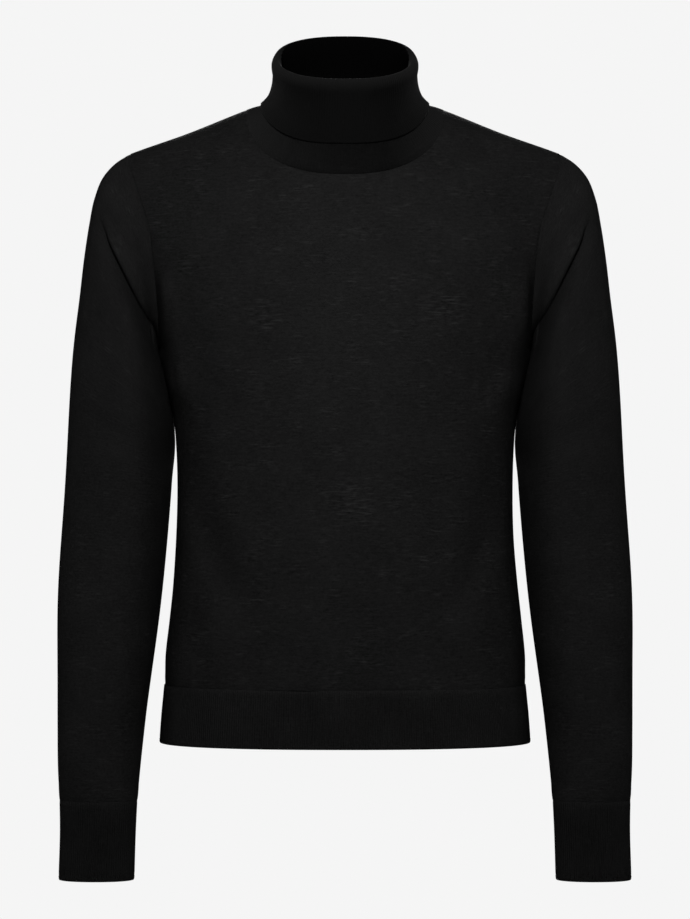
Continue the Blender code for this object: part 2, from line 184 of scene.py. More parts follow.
# One ring of a sleeve, from the armhole to the end of the cuff
Ring = namedtuple("Ring", "outer_x outer_z inner_x inner_z front_depth back_depth mid_y")
RINGS = (
    Ring(SHOULDER_X, -46.7, 184, UNDERARM_Z, 66, 68, 0),
    Ring(228.5, -56.5, 186.4, -242.2, 65, 67, -6),
    Ring(240.3, -70.5, 186.2, -246.5, 63, 65, -13),
    Ring(248.3, -91, 184.4, -253.5, 61, 63, -19),
    Ring(253.9, -119, 181.2, -263, 60, 62, -24),
    Ring(258.9, -152, 177, -277, 59, 61, -27),
    Ring(263.3, -193, 172.8, -294, 58, 60, -28),
    Ring(268.2, -236, 170.6, -314, 57, 58, -27),
    Ring(272.7, -286, 171.3, -336, 56, 56, -24),
    Ring(277.5, -350, 173.6, -366, 53, 53, -20),
    Ring(281.9, -430, 179.6, -434, 48, 48, -16),
    Ring(284.3, -500, 186.3, -501, 44, 44, -15),
    Ring(284.8, -560, 192.9, -560, 40, 40, -17),
    Ring(284.4, -620, 200, -620, 35, 36, -21),
    Ring(283.6, -665, 205, -665, 31, 31, -25),
    Ring(282.2, -689, 207.3, -689, 27.5, 27.5, -27),
    Ring(281.6, -712, 208.5, -712, 26, 26, -28.5),
    Ring(282.8, -768, 210.2, -768, 26, 26, -31),
)
CAP_END_RING = 8  # below this ring the sleeve hangs free of the armhole's shape
CUFF_TOP_RING = 15
ARM_SQUARE = 2.15

# One ring of the collar's rib above the neckline: up inside, over the top and down outside
Hoop = namedtuple("Hoop", "half_width side_z front_y front_z back_y back_z square fall")
COLLAR = (
    Hoop(91, -0.5, -98, -64, 74.5, -5, 2.9, 1.8),
    Hoop(84, 1.5, -94, -52, 73.5, 4.5, 2.8, 1.7),
    Hoop(77, 5.5, -89.5, -39, 71.5, 15, 2.7, 1.55),
    Hoop(71, 13, -85, -25, 69, 28, 2.5, 1.4),
    Hoop(67, 24, -80.5, -9, 66, 43, 2.3, 1.2),
    Hoop(65, 36, -77, 4.5, 63, 58, 2.2, 1.05),
    Hoop(64.6, 46, -75.5, 14.5, 61, 72, 2.3, 1),
    Hoop(68.2, 50.3, -79.2, 20.5, 64.2, 78, 2.35, 1),
    Hoop(71.8, 46, -83, 14.5, 67.6, 72, 2.35, 1),
    Hoop(71.3, 34, -85, -3, 70.5, 56, 2.3, 1.05),
    Hoop(72.8, 21, -87.1, -20, 73.4, 39, 2.4, 1.2),
    Hoop(76.6, 11.2, -89.6, -33, 76.4, 24, 2.6, 1.45),
    Hoop(84, 4.1, -93.3, -43, 79.8, 11, 2.9, 1.55),
)
ROLL_START, CREST, ROLL_END = 7, 8, 9  # lines of the collar, counted from the neckline as 0
COLLAR_RELIEF = 0.16  # its ribs are pressed flatter
COLLAR_EDGE = 1.1  # thickness at its free edge
COLLAR_THINNING = 12  # it thins down to that over this length
COLLAR_UNEVEN = 0.6  # share of the long waves that reach it

# Rows below the crest, inside the neck, that still take the turned-over part's material: how many at
# the front, how many more at the sides, and how many fewer at the back, where the inside's painted
# shade reaches past the crest
RIM_ROWS, RIM_MORE_AT_SIDES, RIM_LESS_AT_BACK = 2, 4, 7

# A fold along a line in front view. facing is -1 on the front, 1 on the back, and 0 where it pushes
# both back. bow is how far its middle bends aside. It is a trough, from_depth deep at its first end
# and to_depth at its last, or a ridge where these are negative. It is in_width wide on the side of
# the body's middle and out_width on the other, and dies out over its fade, a share of its length, at
# both ends. A soft one has a low ridge on each side, and where it rolls, two rolls of cloth meet in
# a sharp crease.
Fold = namedtuple(
    "Fold",
    "facing x0 z0 x1 z1 bow in_width out_width from_depth to_depth fade rolls",
    defaults=(False,),
)
SIDE_RIDGES = 0.35  # how soon a soft fold turns into the ridges at its sides
OVERHANG = 0.6  # how far the inner roll hangs over a crease, as a share of its width
FACING_GAIN = 4  # how sharply a fold on one face ends where the cloth turns away from it
SLEEVE_FOLDS = (
    Fold(-1, 236, -126, 173, -260, -1, 10, 29, 13, 26, 0.26, True),
    Fold(0, 190, -208, 179, -252, 0, 8, 18, 6, 14, 0.5),
    Fold(0, 176, -250, 170, -360, 0, 20, 44, 36, 34, 0.3, True),
    Fold(0, 170, -350, 203, -660, 0, 20, 44, 32, 10, 0.25, True),
    Fold(1, 240, -124, 186, -236, 0, 7, 18, 4, 12, 0.3),
)
SLEEVE_LEFT_FOLDS = SLEEVE_FOLDS + (
    Fold(-1, 223, -101, 211, -116, 0, 2.5, 3.5, 1.6, 1.2, 0.6),
    Fold(-1, 212, -121, 196, -143, 0, 2.5, 4, 1.4, 1.8, 0.6),
    Fold(-1, 226, -112, 206, -150, 2, 5, 6, 1.2, 1.6, 0.5),
    Fold(-1, 262, -300, 236, -470, 6, 16, 18, 1.2, 0.6, 0.5),
    Fold(1, 266, -420, 214, -452, -5, 9, 11, 1.6, 1.6, 0.4),
    Fold(1, 258, -468, 210, -486, -3, 8, 10, 1.4, 1.2, 0.4),
)
SLEEVE_RIGHT_FOLDS = SLEEVE_FOLDS + (
    Fold(-1, 224, -99, 210, -117, 0, 2.5, 3.5, 1.8, 1.4, 0.6),
    Fold(-1, 213, -120, 195, -144, 0, 2.5, 4, 1.6, 2.0, 0.6),
    Fold(-1, 228, -116, 205, -152, 2, 5, 6, 1.2, 1.8, 0.5),
    Fold(-1, 260, -320, 232, -500, 7, 16, 18, 1.4, 0.5, 0.5),
    Fold(1, 262, -405, 216, -440, -5, 9, 11, 1.5, 1.7, 0.4),
    Fold(1, 254, -458, 212, -480, -4, 8, 10, 1.2, 1.4, 0.4),
)
BODY_FOLDS = (
    Fold(-1, 181, -178, 168, -292, 0, 24, 10, -14, -20, 0.35),
    Fold(-1, -181, -178, -168, -292, 0, 24, 10, -14, -20, 0.35),
    Fold(-1, 167, -280, 160, -440, 0, 22, 9, -12, -5, 0.35),
    Fold(-1, -167, -280, -160, -440, 0, 22, 9, -12, -5, 0.35),
    Fold(-1, 158, -330, 108, -500, 10, 24, 20, 6, 7, 0.4),
    Fold(-1, -158, -330, -102, -500, 10, 24, 20, 7, 8, 0.4),
    Fold(-1, 150, -455, 146, -552, 0, 14, 20, 2, 3, 0.4),
    Fold(-1, -152, -440, -146, -552, 0, 14, 20, 2, 3.5, 0.4),
    Fold(1, 160, -330, 100, -470, 8, 28, 26, 3, 3, 0.4),
    Fold(1, -160, -330, -96, -480, -8, 28, 26, 3, 3, 0.4),
    Fold(1, 120, -470, 30, -530, 6, 22, 18, 2, 2.5, 0.4),
    Fold(1, -112, -455, -24, -512, -6, 22, 18, 2.2, 1.8, 0.4),
    Fold(-1, 166, -268, 96, -300, 0, 18, 18, 1.4, 0.5, 0.4),
    Fold(-1, -166, -268, -88, -306, 0, 18, 18, 1.4, 0.5, 0.4),
)

# Long shallow waves that keep the cloth from lying as even as a tin. They die out around the
# armpits and on the shoulders.
Wave = namedtuple("Wave", "x_length z_length shift height")
WAVES = (
    Wave(310, 900, 0.4, 0.7),
    Wave(-165, 420, 1.9, 0.6),
    Wave(96, -260, 3.1, 0.35),
    Wave(61, 150, 5.2, 0.2),
    Wave(-44, 330, 0.9, 0.2),
)
CALM_X, CALM_WIDTH = 176, 40
CALM_Z, CALM_HEIGHT = -320, 150
CALM_SHOULDER_Z, CALM_SHOULDER_FADE = -30, 150

# The yarn's unevenness, as noise on the flat knit: how wide and high its patches are
Patches = namedtuple("Patches", "width height detail")
PATCHES = {
    "mottle": Patches(8, 2.6, 2),  # a few stitches wide and two courses high
    "streaks": Patches(14, 1.7, 1),  # a stretch of hairier yarn, along one or two courses
    "clusters": Patches(34, 15, 2),  # where such stretches come together
    "broad": Patches(48, 40, 1),  # how evenly the cloth was pressed
    "fine": Patches(2.6, 1.5, 1),  # one stitch or two
}
PATCH_ROUGHNESS = 0.6
NOISE_MEAN = 0.5
STREAK_FLOOR = 0.02  # only noise above this makes a streak
CLUSTER_GAIN, CLUSTER_MIDDLE, CLUSTER_FLOOR = 5, 0.3, 0.2
# Spots paint highlights on a knit, by gathering its light streaks where light catches the cloth
PAINTED_HIGHLIGHT_GAIN = 2.6  # how much a knit's spot adds to its clusters
MOTTLE_GAIN, MOTTLE_FLOOR = 0.35, 0.4  # how mottled a cluster is, and the cloth outside one

# How much each pattern adds to a knit's shade
STREAK_GAIN = 1.6
BROAD_GAIN = 0.2
FINE_GAIN = 0.45
STITCH_GAIN = 0.08

# Each stitch is a V: two legs that lean out from the middle of their wale
HALF_WALE = 0.5
LEG_LEAN = 1.2  # courses that a leg climbs in the width of a stitch
LEG_RELIEF = 0.3  # how far a leg stands out along its course, as a share of its roundness
BUMP_STRENGTH = 0.6
MOTTLE_BUMP = 1.2
SEAM_STRETCH = 7  # how far from its seam a rib is stretched
WOOL_ROUGHNESS = 0.7
FIBRE_ROUGHNESS = 0.4

# A place on the flat knit, with half its width and height
Spot = namedtuple("Spot", "across along half_width half_height")

# How each knit looks. Its shade runs from dark at 0 to light at 1, and shade is its mean. relief is
# its bump's depth. grain is how strongly the yarn's unevenness shows, and streak how much of that
# comes as faint light streaks. The spots paint highlights: there those streaks are made to cluster,
# where light catches the cloth. held gives places of painted light, where the colour is lighter to
# stand in for light that falls there, and how much. seam is how much lighter a rib is where it is
# stretched on its seam.
Knit = namedtuple(
    "Knit",
    "dark light wale relief shade grain streak specular sheen spots held seam",
    defaults=(0.05, 0.002, (), (), 0),
)
KNITS = {
    # Plain knit of the body: dull black, with faint light streaks. Its colour has a painted pool of
    # light over the middle of the front, and of the back, and painted highlights where the streaks
    # cluster at three places on the chest
    "merino_jersey_black": Knit(
        "#0C0C0C", "#2C2C2C", WALE, 0.25, 0.28, 1, 0.9,
        spots=(Spot(-79, 423, 24, 17), Spot(99, 430, 32, 22), Spot(5, 243, 34, 26)),
        held=((0.14, Spot(0, 440, 165, 300)),),
    ),
    # The same knit hanging loose in the sleeves: its yarn's streaks close up and hardly show. Its
    # colour is a little lighter than the body's, painted light that stands in for the light on the
    # sleeves' fronts
    "merino_jersey_black_relaxed": Knit("#0F0F0F", "#2E2E2E", WALE, 0.25, 0.26, 1.1, 0.55),
    # The rib of the cuffs and the hem: it is drawn in, so it is darker, and lighter on its seam
    "merino_rib_black": Knit("#0F0F0F", "#252525", RIB_PITCH, 0.2, 0.25, 1.7, 0.35, seam=0.25),
    # One layer of rib pulled around the neck's base: nearly black, which is painted shade under the
    # turned-over part, with painted light on its sides
    "merino_rib_black_neck_painted_shade_and_light": Knit(
        "#060606", "#262626", RIB_PITCH, 0.12, 0.03, 0.4, 0.5,
        held=((0.62, Spot(113, 0, 92, 200)), (0.62, Spot(338, 0, 92, 200))),
    ),
    # Rib turned over double, and pressed: smooth, with a soft sheen of fibre ends. Its colour has a
    # painted highlight along the front of its roll and painted light on its sides
    "merino_rib_black_double_painted_highlights": Knit(
        "#050505", "#262626", RIB_PITCH, 0.06, 0.05, 0.15, 0.4, 0.04, 0.04,
        held=(
            (0.45, Spot(225.5, 91, 190, 12)),
            (0.26, Spot(113, 110, 80, 200)),
            (0.26, Spot(338, 110, 80, 200)),
        ),
    ),
    # The neck's inside: a black copy of the rib without any shine, which is painted shade
    "merino_rib_black_inside_painted_shade": Knit("#060606", "#0C0C0C", RIB_PITCH, 0.2, 0.2, 0.5, 0.3, 0, 0),
}

# Studio, in metres and watts. spread is in degrees: a grid over a soft box narrows it.
CAMERA_DISTANCE = 3.8
CAMERA_LEVEL = -0.3515
CAMERA_HALF_VIEW = 0.4595  # half the height that it sees, at the sweater's middle
CHEST = (0, 0, -0.22)
SoftBox = namedtuple("SoftBox", "name place target size power spread", defaults=(180,))
SOFT_BOXES = (
    SoftBox("front_box", (0, -2.6, 0.75), CHEST, (0.5, 0.9), 3.1, 42),
    SoftBox("back_box", (0, 2.6, 0.75), CHEST, (0.8, 0.9), 3, 60),
    SoftBox("left_top_box", (1.3, 0.15, 1.4), (0.1, 0, -0.1), (0.6, 0.9), 4.6),
    SoftBox("left_side_box", (2.4, -0.3, 0), CHEST, (0.5, 2.4), 3.4),
    SoftBox("right_top_box", (-1.3, 0.15, 1.4), (-0.1, 0, -0.1), (0.6, 0.9), 4.6),
    SoftBox("right_side_box", (-2.4, -0.3, 0), CHEST, (0.5, 2.4), 3.4),
)
WALL_COLOUR = "#F5F5F5"
WALL_LIGHT = 0.012  # how brightly the walls light the sweater. The camera sees them at 1.
FLOOR_COLOUR = "#ECECEC"
FLOOR_ROUGHNESS = 0.9
FLOOR_RADIUS = 1.9
FLOOR_LEVEL = -1.45
FLOOR_SIDES = 96


def smooth(keys, values, at):
    """Reads a smooth curve through values, or through rows of points, that are given at keys."""
    keys, values, at = (np.asarray(numbers, dtype=float) for numbers in (keys, values, at))
    slopes = np.gradient(values, keys, axis=0)
    low = np.clip(np.searchsorted(keys, at, side="right") - 1, 0, len(keys) - 2)
    spread = (...,) + (None,) * (values.ndim - 1)
    span = (keys[low + 1] - keys[low])[spread]
    part = np.clip((at - keys[low])[spread] / span, 0, 1)
    rest = 1 - part
    start = values[low] * (1 + 2 * part) * rest**2 + slopes[low] * span * part * rest**2
    end = values[low + 1] * part**2 * (3 - 2 * part)
    return start + end + slopes[low + 1] * span * part**2 * (part - 1)


def read_column(table, name, keys, at):
    """Reads one named column of a table between its rows."""
    return smooth(keys, [getattr(row, name) for row in table], at)


def section_value(name, height):
    """Reads a column of SECTIONS at a height."""
    return read_column(SECTIONS, name, [section.z for section in SECTIONS], height)


def between(first, second, share):
    """Numbers part of the way from the first ones to the second ones."""
    return [start + (end - start) * share for start, end in zip(first, second)]


def fade_out(value):
    """Falls smoothly from 1 at value 0 to 0 at value 1."""
    share = np.clip(value, 0, 1)
    return 1 - share * share * (3 - 2 * share)


def relief(distance, bumps):
    """How far cloth stands out at a distance from a seam that has these bumps beside it."""
    return sum(
        bump.height * np.exp(-(((distance - bump.distance) / bump.width) ** 2)) for bump in bumps
    )


def freedom(distance, reach):
    """How freely cloth moves at a distance from a seam: 0 on it, and nearly 1 at twice its reach."""
    return 1 - np.exp(-((distance / reach) ** 2))


def shoulder_height(x):
    """The shoulder line's height in front view."""
    zero = np.hypot(SHOULDER_ZERO_X, SHOULDER_BLEND)
    sag = SHOULDER_SAG * fade_out(abs(abs(x) - SAG_X) / SAG_REACH)
    return SHOULDER_SLOPE * (zero - np.hypot(x, SHOULDER_BLEND)) - sag


def body_depth(x, height, name):
    """Where the front or back surface lies, at a place given in front view."""
    round_height = FRONT_ROUND if name == "front" else BACK_ROUND
    square = section_value("square", height)
    share = np.clip(abs(x) / section_value("half_width", height), 0, 1)
    across = (1 - share**square) ** (1 / square)
    drop = np.clip((shoulder_height(x) - height) / round_height, 0, 1)
    return section_value(name + "_y", height) * across * np.sqrt(1 - (1 - drop) ** 2)


def boxed_circle(angles, square):
    """The cosine and sine of a circle that is drawn out towards a square."""
    cosine, sine = np.cos(angles), np.sin(angles)
    reach = (abs(cosine) ** square + abs(sine) ** square) ** (-1 / square)
    return cosine * reach, sine * reach


def superellipse(share):
    """The other coordinate of a point on a superellipse of radius 1."""
    return (1 - np.clip(share, 0, 1) ** ROW_SQUARE) ** (1 / ROW_SQUARE)


def normals_of(grid, closed, sign):
    """Unit normals of a grid of points, closed or not across its columns."""
    if closed:
        across = np.roll(grid, -1, axis=1) - np.roll(grid, 1, axis=1)
    else:
        across = np.gradient(grid, axis=1)
    normals = sign * np.cross(across, np.gradient(grid, axis=0))
    return normals / np.linalg.norm(normals, axis=2, keepdims=True)


def run_along(grid, axis):
    """The running length at each point of a grid: down its columns with axis 0, or along its rows."""
    steps = np.linalg.norm(np.diff(grid, axis=axis), axis=2)
    starts = [(0, 0), (0, 0)]
    starts[axis] = (1, 0)
    return np.pad(np.cumsum(steps, axis=axis), starts)


def row_distances(grid, from_row):
    """The running length from a row of the grid to each point, along its column."""
    run = run_along(grid, 0)
    return abs(run - run[from_row])


def evenly(points, count, closed):
    """The same line with its points spaced evenly: count steps, from its first point."""
    if closed:
        points = np.concatenate((points, points[:1]))
    run = run_along(points[None], 1)[0]
    at = np.linspace(0, run[-1], count + 1)
    at = at[:-1] if closed else at
    return np.stack([np.interp(at, run, points[:, axis]) for axis in range(3)], axis=-1)


def whole_ribs(line, multiple):
    """How many ribs fit along a line of points, as a multiple of a number."""
    length = run_along(line[None], 1)[0, -1]
    return multiple * round(length / RIB_PITCH / multiple)


def fold_shift(points, fold):
    """How far one fold presses each point in, and how far it draws it aside, in x and z.

    Where rolls of cloth meet, the one on the side of the body's middle hangs over the crease.
    """
    start, end = np.array([fold.x0, fold.z0]), np.array([fold.x1, fold.z1])
    length = np.hypot(*(end - start))
    along = (end - start) / length
    inward = np.array([along[1], -along[0]]) * np.sign(fold.x0)
    offset = points[..., (0, 2)] - start
    travel = offset @ along / length
    inner = np.clip(travel, 0, 1)
    aside = offset @ inward + fold.bow * 4 * inner * (1 - inner)
    share = aside / np.where(aside > 0, fold.in_width, fold.out_width)
    hold = fade_out((abs(travel - 0.5) - 0.5) / fold.fade + 0.5)
    depth = hold * (fold.from_depth + (fold.to_depth - fold.from_depth) * inner)
    if not fold.rolls:
        return depth * (1 - SIDE_RIDGES * share**2) * np.exp(-(share**2)), 0
    over = OVERHANG * fold.in_width * hold * (1 - inner**2) * np.sin(np.pi * np.clip(share, 0, 1))
    return depth * (1 - np.clip(abs(share), 0, 1)) ** 3, -over[..., None] * inward


def uneven(points):
    """How far the long shallow waves lift each point."""
    x, z = points[..., 0], points[..., 2]
    beside_armpit = fade_out(abs(abs(x) - CALM_X) / CALM_WIDTH)
    armpit = beside_armpit * fade_out(abs(z - CALM_Z) / CALM_HEIGHT)
    calm = np.maximum(armpit, fade_out((CALM_SHOULDER_Z - z) / CALM_SHOULDER_FADE))
    waves = 0
    for wave in WAVES:
        turn = x / wave.x_length + z / wave.z_length
        waves = waves + wave.height * np.sin(2 * np.pi * turn + wave.shift)
    return (1 - calm) * waves


def folded(grid, normals, folds, hold):
    """Adds the long waves to a grid, along its normals, and presses its folds straight in.

    hold is how freely each point can move: 0 on a seam and 1 well away from it.
    """
    shaped = grid + uneven(grid)[..., None] * normals
    for fold in folds:
        if fold.facing:
            faces = np.clip(FACING_GAIN * fold.facing * normals[..., 1], 0, 1) * hold
            press = -fold.facing * faces
        else:
            faces = press = hold
        depth, over = fold_shift(grid, fold)
        shaped[..., 1] += press * depth
        shaped[..., (0, 2)] += faces[..., None] * over
    return shaped


def meet(first, second):
    """Gives two edges that meet the same normals, so that their walls end face to face."""
    shared = first + second
    shared /= np.linalg.norm(shared, axis=-1, keepdims=True)
    first[:] = shared
    second[:] = shared


def lap_over(grid):
    """Moves a closed grid's first row a little past its seam, square to the seam."""
    seam = np.roll(grid[0], -1, axis=0) - np.roll(grid[0], 1, axis=0)
    seam /= np.linalg.norm(seam, axis=1, keepdims=True)
    away = grid[1] - grid[0]
    away -= (away * seam).sum(axis=1, keepdims=True) * seam
    grid[0] -= away * SEAM_LAP / np.linalg.norm(away, axis=1, keepdims=True)


def above_chest(grid):
    """1 on the shoulders and the top of the chest, and 0 well below."""
    return fade_out((LINK_END_Z - grid[..., 2]) / LINK_FADE)


def blouse(distance):
    """How far jersey swells out beside a rib."""
    return relief(distance, BLOUSE) - BLOUSE_INSET


def armpit_bulge(points):
    """How far the side of the body swells out where the arm holds its cloth."""
    x, z = points[..., 0], points[..., 2]
    below = 1 - fade_out((BULGE_TOP_Z - z) / BULGE_GROWTH)
    side = fade_out((section_value("half_width", z) - abs(x)) / BULGE_WIDTH)
    return BULGE * below * side * fade_out((BULGE_END_Z - z) / BULGE_FADE)


def level_rows(heights):
    """Rows that run level around the body."""
    widths = section_value("half_width", heights)
    return [Row(width, z, z, z, 0, 1) for width, z in zip(widths, heights)]


def armhole_rows():
    """The rows that end on the armhole's edge, bottom to top.

    Their ends crowd where the armhole turns, and their middles are evenly spaced.
    """
    rows = []
    top = shoulder_height(SHOULDER_X)
    for step in np.linspace(0, 1, ARMHOLE_ROWS + 1):
        share = (1 - np.cos(np.pi * step)) / 2
        front_z, back_z = between((UNDERARM_Z,) * 2, (SHOULDER_FRONT_Z, SHOULDER_BACK_Z), step)
        z = UNDERARM_Z + (top - UNDERARM_Z) * share
        x = read_column(ARMHOLE, "x", [seam.z for seam in ARMHOLE], z)
        start = superellipse(x / section_value("half_width", z))
        crowding = 1 + (SHOULDER_CROWDING - 1) * share
        rows.append(Row(x, z, front_z, back_z, start, crowding))
    return rows


def yoke_rows(shoulder_row):
    """The rows that end on the shoulder line, from the one at the shoulder points inward."""
    neck_z = shoulder_height(NECK_X)
    neckline_row = Row(NECK_X, neck_z, NECKLINE_FRONT_Z, NECKLINE_BACK_Z, 0, NECKLINE_CROWDING)
    rows = []
    for share in np.linspace(0, 1, YOKE_ROWS + 1)[1:]:
        row = Row(*between(shoulder_row, neckline_row, share))
        rows.append(row._replace(end_z=shoulder_height(row.end_x)))
    return rows


def panel_rows():
    """The rows of a panel above its rib."""
    heights = np.linspace(HEM_RIB_TOP_Z - SEAM_LAP / 2, UNDERARM_Z, BODY_ROWS + 1)[:-1]
    armhole = armhole_rows()
    return level_rows(heights) + armhole + yoke_rows(armhole[-1])


def panel_grid(rows, name):
    """The middle surface of the front or back over some rows, with its columns from left to right."""
    first = 0 if name == "front" else np.pi
    lap = SEAM_LAP / 2 if name == "front" else -SEAM_LAP / 2
    grid = []
    for row in rows:
        limit = np.arctan2(row.start, superellipse(row.start))
        angles = np.linspace(first + limit, first + np.pi - limit, PANEL_COLUMNS + 1)
        across, along = boxed_circle(angles, ROW_SQUARE)
        fall = np.clip((abs(along) - row.start) / (1 - row.start), 0, 1) ** row.crowding
        reach = row.end_x / superellipse(row.start)
        x = np.sign(across) * reach * superellipse(row.start + (1 - row.start) * fall)
        z = row.end_z + (getattr(row, name + "_z") - row.end_z) * fall
        grid.append(np.stack((x, body_depth(x, z, name) + lap, z), axis=-1))
    return np.array(grid)


def rows_to_edge(seam, edge, count):
    """Row places from a seam to a cast-off edge: closer together over the chained rows."""
    turn = edge - CAST_OFF * np.sign(edge - seam)
    chained = np.linspace(turn, edge, CAST_OFF_ROWS + 1)
    return np.concatenate((np.linspace(seam, turn, count + 1), chained[1:]))


def body_grids():
    """The middle surfaces and normals of the front, the back and their hem ribs, by node name."""
    grids = {}
    for name in ("front", "back"):
        grids[name] = panel_grid(panel_rows(), name)
        rib_heights = rows_to_edge(HEM_RIB_TOP_Z + SEAM_LAP / 2, HEM_Z, HEM_ROWS)[::-1]
        rib = panel_grid(level_rows(rib_heights), name)
        ribs = whole_ribs(rib[0], 4)  # so a crest lies on both sides and on the middle line
        grids["hem_rib_" + name] = np.array([evenly(row, ribs * RIB_STEPS, False) for row in rib])
    normals = {name: normals_of(grid, False, -1) for name, grid in grids.items()}
    for one, other in (("front", "back"), ("hem_rib_front", "hem_rib_back")):
        meet(normals[one][:, 0], normals[other][:, -1])
        meet(normals[one][:, -1], normals[other][:, 0])
    return grids, normals


def armhole_loop(front, back):
    """The left armhole's values of two panel grids, from the shoulder by way of the front."""
    rows = slice(BODY_ROWS, BODY_ROWS + ARMHOLE_ROWS + 1)
    front_edge, back_edge = front[rows, 0], back[rows, -1]
    loop = np.concatenate((front_edge[::-1], back_edge[1:-1]))
    loop[0] = (front_edge[-1] + back_edge[-1]) / 2
    loop[ARMHOLE_ROWS] = (front_edge[0] + back_edge[0]) / 2
    return loop


def set_armhole_loop(front, back, loop):
    """Puts the loop's normals back on both armholes of two panel grids."""
    rows = slice(BODY_ROWS, BODY_ROWS + ARMHOLE_ROWS + 1)
    half = ARMHOLE_ROWS + 1
    front_edge = loop[:half][::-1]
    back_edge = np.concatenate((loop[half - 1 :], loop[:1]))
    mirror = np.array([-1, 1, 1])
    front[rows, 0], back[rows, -1] = front_edge, back_edge
    front[rows, -1], back[rows, 0] = front_edge * mirror, back_edge * mirror


def neckline(front, back):
    """The neckline's points on two panel grids, from the left shoulder by way of the front."""
    ring = np.concatenate((front[-1, :-1], back[-1, :-1]))
    ring[0] = (front[-1, 0] + back[-1, -1]) / 2
    ring[PANEL_COLUMNS] = (front[-1, -1] + back[-1, 0]) / 2
    return ring


def ring_points(ring, turns):
    """Points of a sleeve's ring. Turn 0 is on the outer line and a quarter turn at the front."""
    across, along = boxed_circle(turns, ARM_SQUARE)
    outer = np.array([ring.outer_x, ring.mid_y, ring.outer_z])
    inner = np.array([ring.inner_x, ring.mid_y, ring.inner_z])
    depth = np.where(along > 0, -ring.front_depth, ring.back_depth) * abs(along)
    points = (outer + inner) / 2 + across[:, None] * (outer - inner) / 2
    points[:, 1] += depth
    return points


def sleeve_keys():
    """The running length of each ring along the arm's outer line."""
    outer_line = np.array([(ring.outer_x, ring.outer_z) for ring in RINGS])
    return run_along(outer_line[None], 1)[0]


def sleeve_grid(row_keys, loop):
    """The middle surface of a left sleeve, which starts at the armhole's loop of points."""
    keys = sleeve_keys()
    turns = np.arange(len(loop)) * 2 * np.pi / len(loop)
    start = ring_points(RINGS[0], turns)
    rows = []
    for key in row_keys:
        ring = Ring(*(read_column(RINGS, name, keys, key) for name in Ring._fields))
        hold = fade_out(key / keys[CAP_END_RING])
        rows.append(ring_points(ring, turns) + hold * (loop - start))
    return np.array(rows)


def hoop_points(hoop, angles):
    """Points of a hoop. Angle 0 is at +X, a quarter turn at the front and half a turn at -X."""
    across, along = boxed_circle(angles, hoop.square)
    depth = np.where(along > 0, hoop.front_y, hoop.back_y)
    height = np.where(along > 0, hoop.front_z, hoop.back_z)
    rise = (height - hoop.side_z) * abs(along) ** hoop.fall
    return np.stack((hoop.half_width * across, depth * abs(along), hoop.side_z + rise), axis=-1)


def ribbed(grid, normals, seam_row, rib_relief=RIB_RELIEF):
    """Raises the ribs: one crest each RIB_STEPS columns.

    They flatten at the row on the seam, and end in chained rows at the other end.
    """
    crest = rib_relief * np.cos(2 * np.pi * np.arange(grid.shape[1]) / RIB_STEPS)
    free_row = -1 if seam_row == 0 else 0
    from_edge = row_distances(grid, free_row)
    flat = relief(row_distances(grid, seam_row), RIB_START)
    flat = flat + CAST_OFF_FLATTER * fade_out(from_edge / CAST_OFF)
    chain = CAST_OFF_RELIEF * np.cos(np.pi * CAST_OFF_ROWS * from_edge / CAST_OFF)
    chain = chain * (from_edge < ROUNDING * CAST_OFF)
    return grid + (crest * (1 - flat) + chain)[..., None] * normals


def panel_map(grid, name):
    """Where each point of a panel lies on the flat knit, by the running lengths on its surface.

    Past LEVEL_X the length up the knit is that at LEVEL_X, so that the courses stay level there.
    """
    across_steps = np.sin(np.linspace(0, np.pi / 2, LENGTH_STEPS_ACROSS))
    up_steps = np.linspace(0, 1, LENGTH_STEPS_UP)
    x, z = grid[..., 0, None], grid[..., 2, None]
    across_x = x * across_steps
    across_y = body_depth(across_x, np.broadcast_to(z, across_x.shape), name)
    wide = np.hypot(np.diff(across_x), np.diff(across_y)).sum(axis=-1) * np.sign(grid[..., 0])
    up_z = HEM_Z + (z - HEM_Z) * up_steps
    up_y = body_depth(np.broadcast_to(np.clip(x, -LEVEL_X, LEVEL_X), up_z.shape), up_z, name)
    high = np.hypot(np.diff(up_z), np.diff(up_y)).sum(axis=-1)
    return np.stack((wide, high), axis=-1)


def round_map(grid):
    """Where each point of a sleeve lies on the flat knit: around it from its outer line."""
    looped = np.concatenate((grid, grid[:, :1]), axis=1)
    run = run_along(looped, 1)
    middle = grid.shape[1] // 2
    down = row_distances(looped, 0)[:, middle, None]
    return np.stack((run - run[:, middle, None], np.broadcast_to(down, run.shape)), axis=-1)


def rib_map(grid, closed, seam_row):
    """Where each point of a rib lies on the flat knit: across its ribs, and from its seam."""
    columns = grid.shape[1] + (1 if closed else 0)
    wide = np.arange(columns) * RIB_PITCH / RIB_STEPS
    high = row_distances(grid, seam_row).mean(axis=1)
    return np.stack(np.broadcast_arrays(wide[None, :], high[:, None]), axis=-1)


# A wall of cloth about a grid of points. Its thickness is one number or one for each row, and its
# radii say how round its first and last edges are. knit holds each point's place on the flat knit,
# across its wales and along them. On a closed grid it has one more column, which ends the round.
Wall = namedtuple("Wall", "grid normals closed thickness radii knit")


def edge_rows(grid, normals, thickness, radius):
    """Half the wall's profile at the grid's last row: a rounded end."""
    radius = min(radius, thickness / 2)
    away = grid[-1] - grid[-2]
    away /= np.linalg.norm(away, axis=1, keepdims=True)
    middle = grid[-1] - away * radius + normals[-1] * (thickness / 2 - radius)
    return [
        middle + normals[-1] * radius * np.cos(turn) + away * radius * np.sin(turn)
        for turn in np.radians(EDGE_TURNS)
    ]


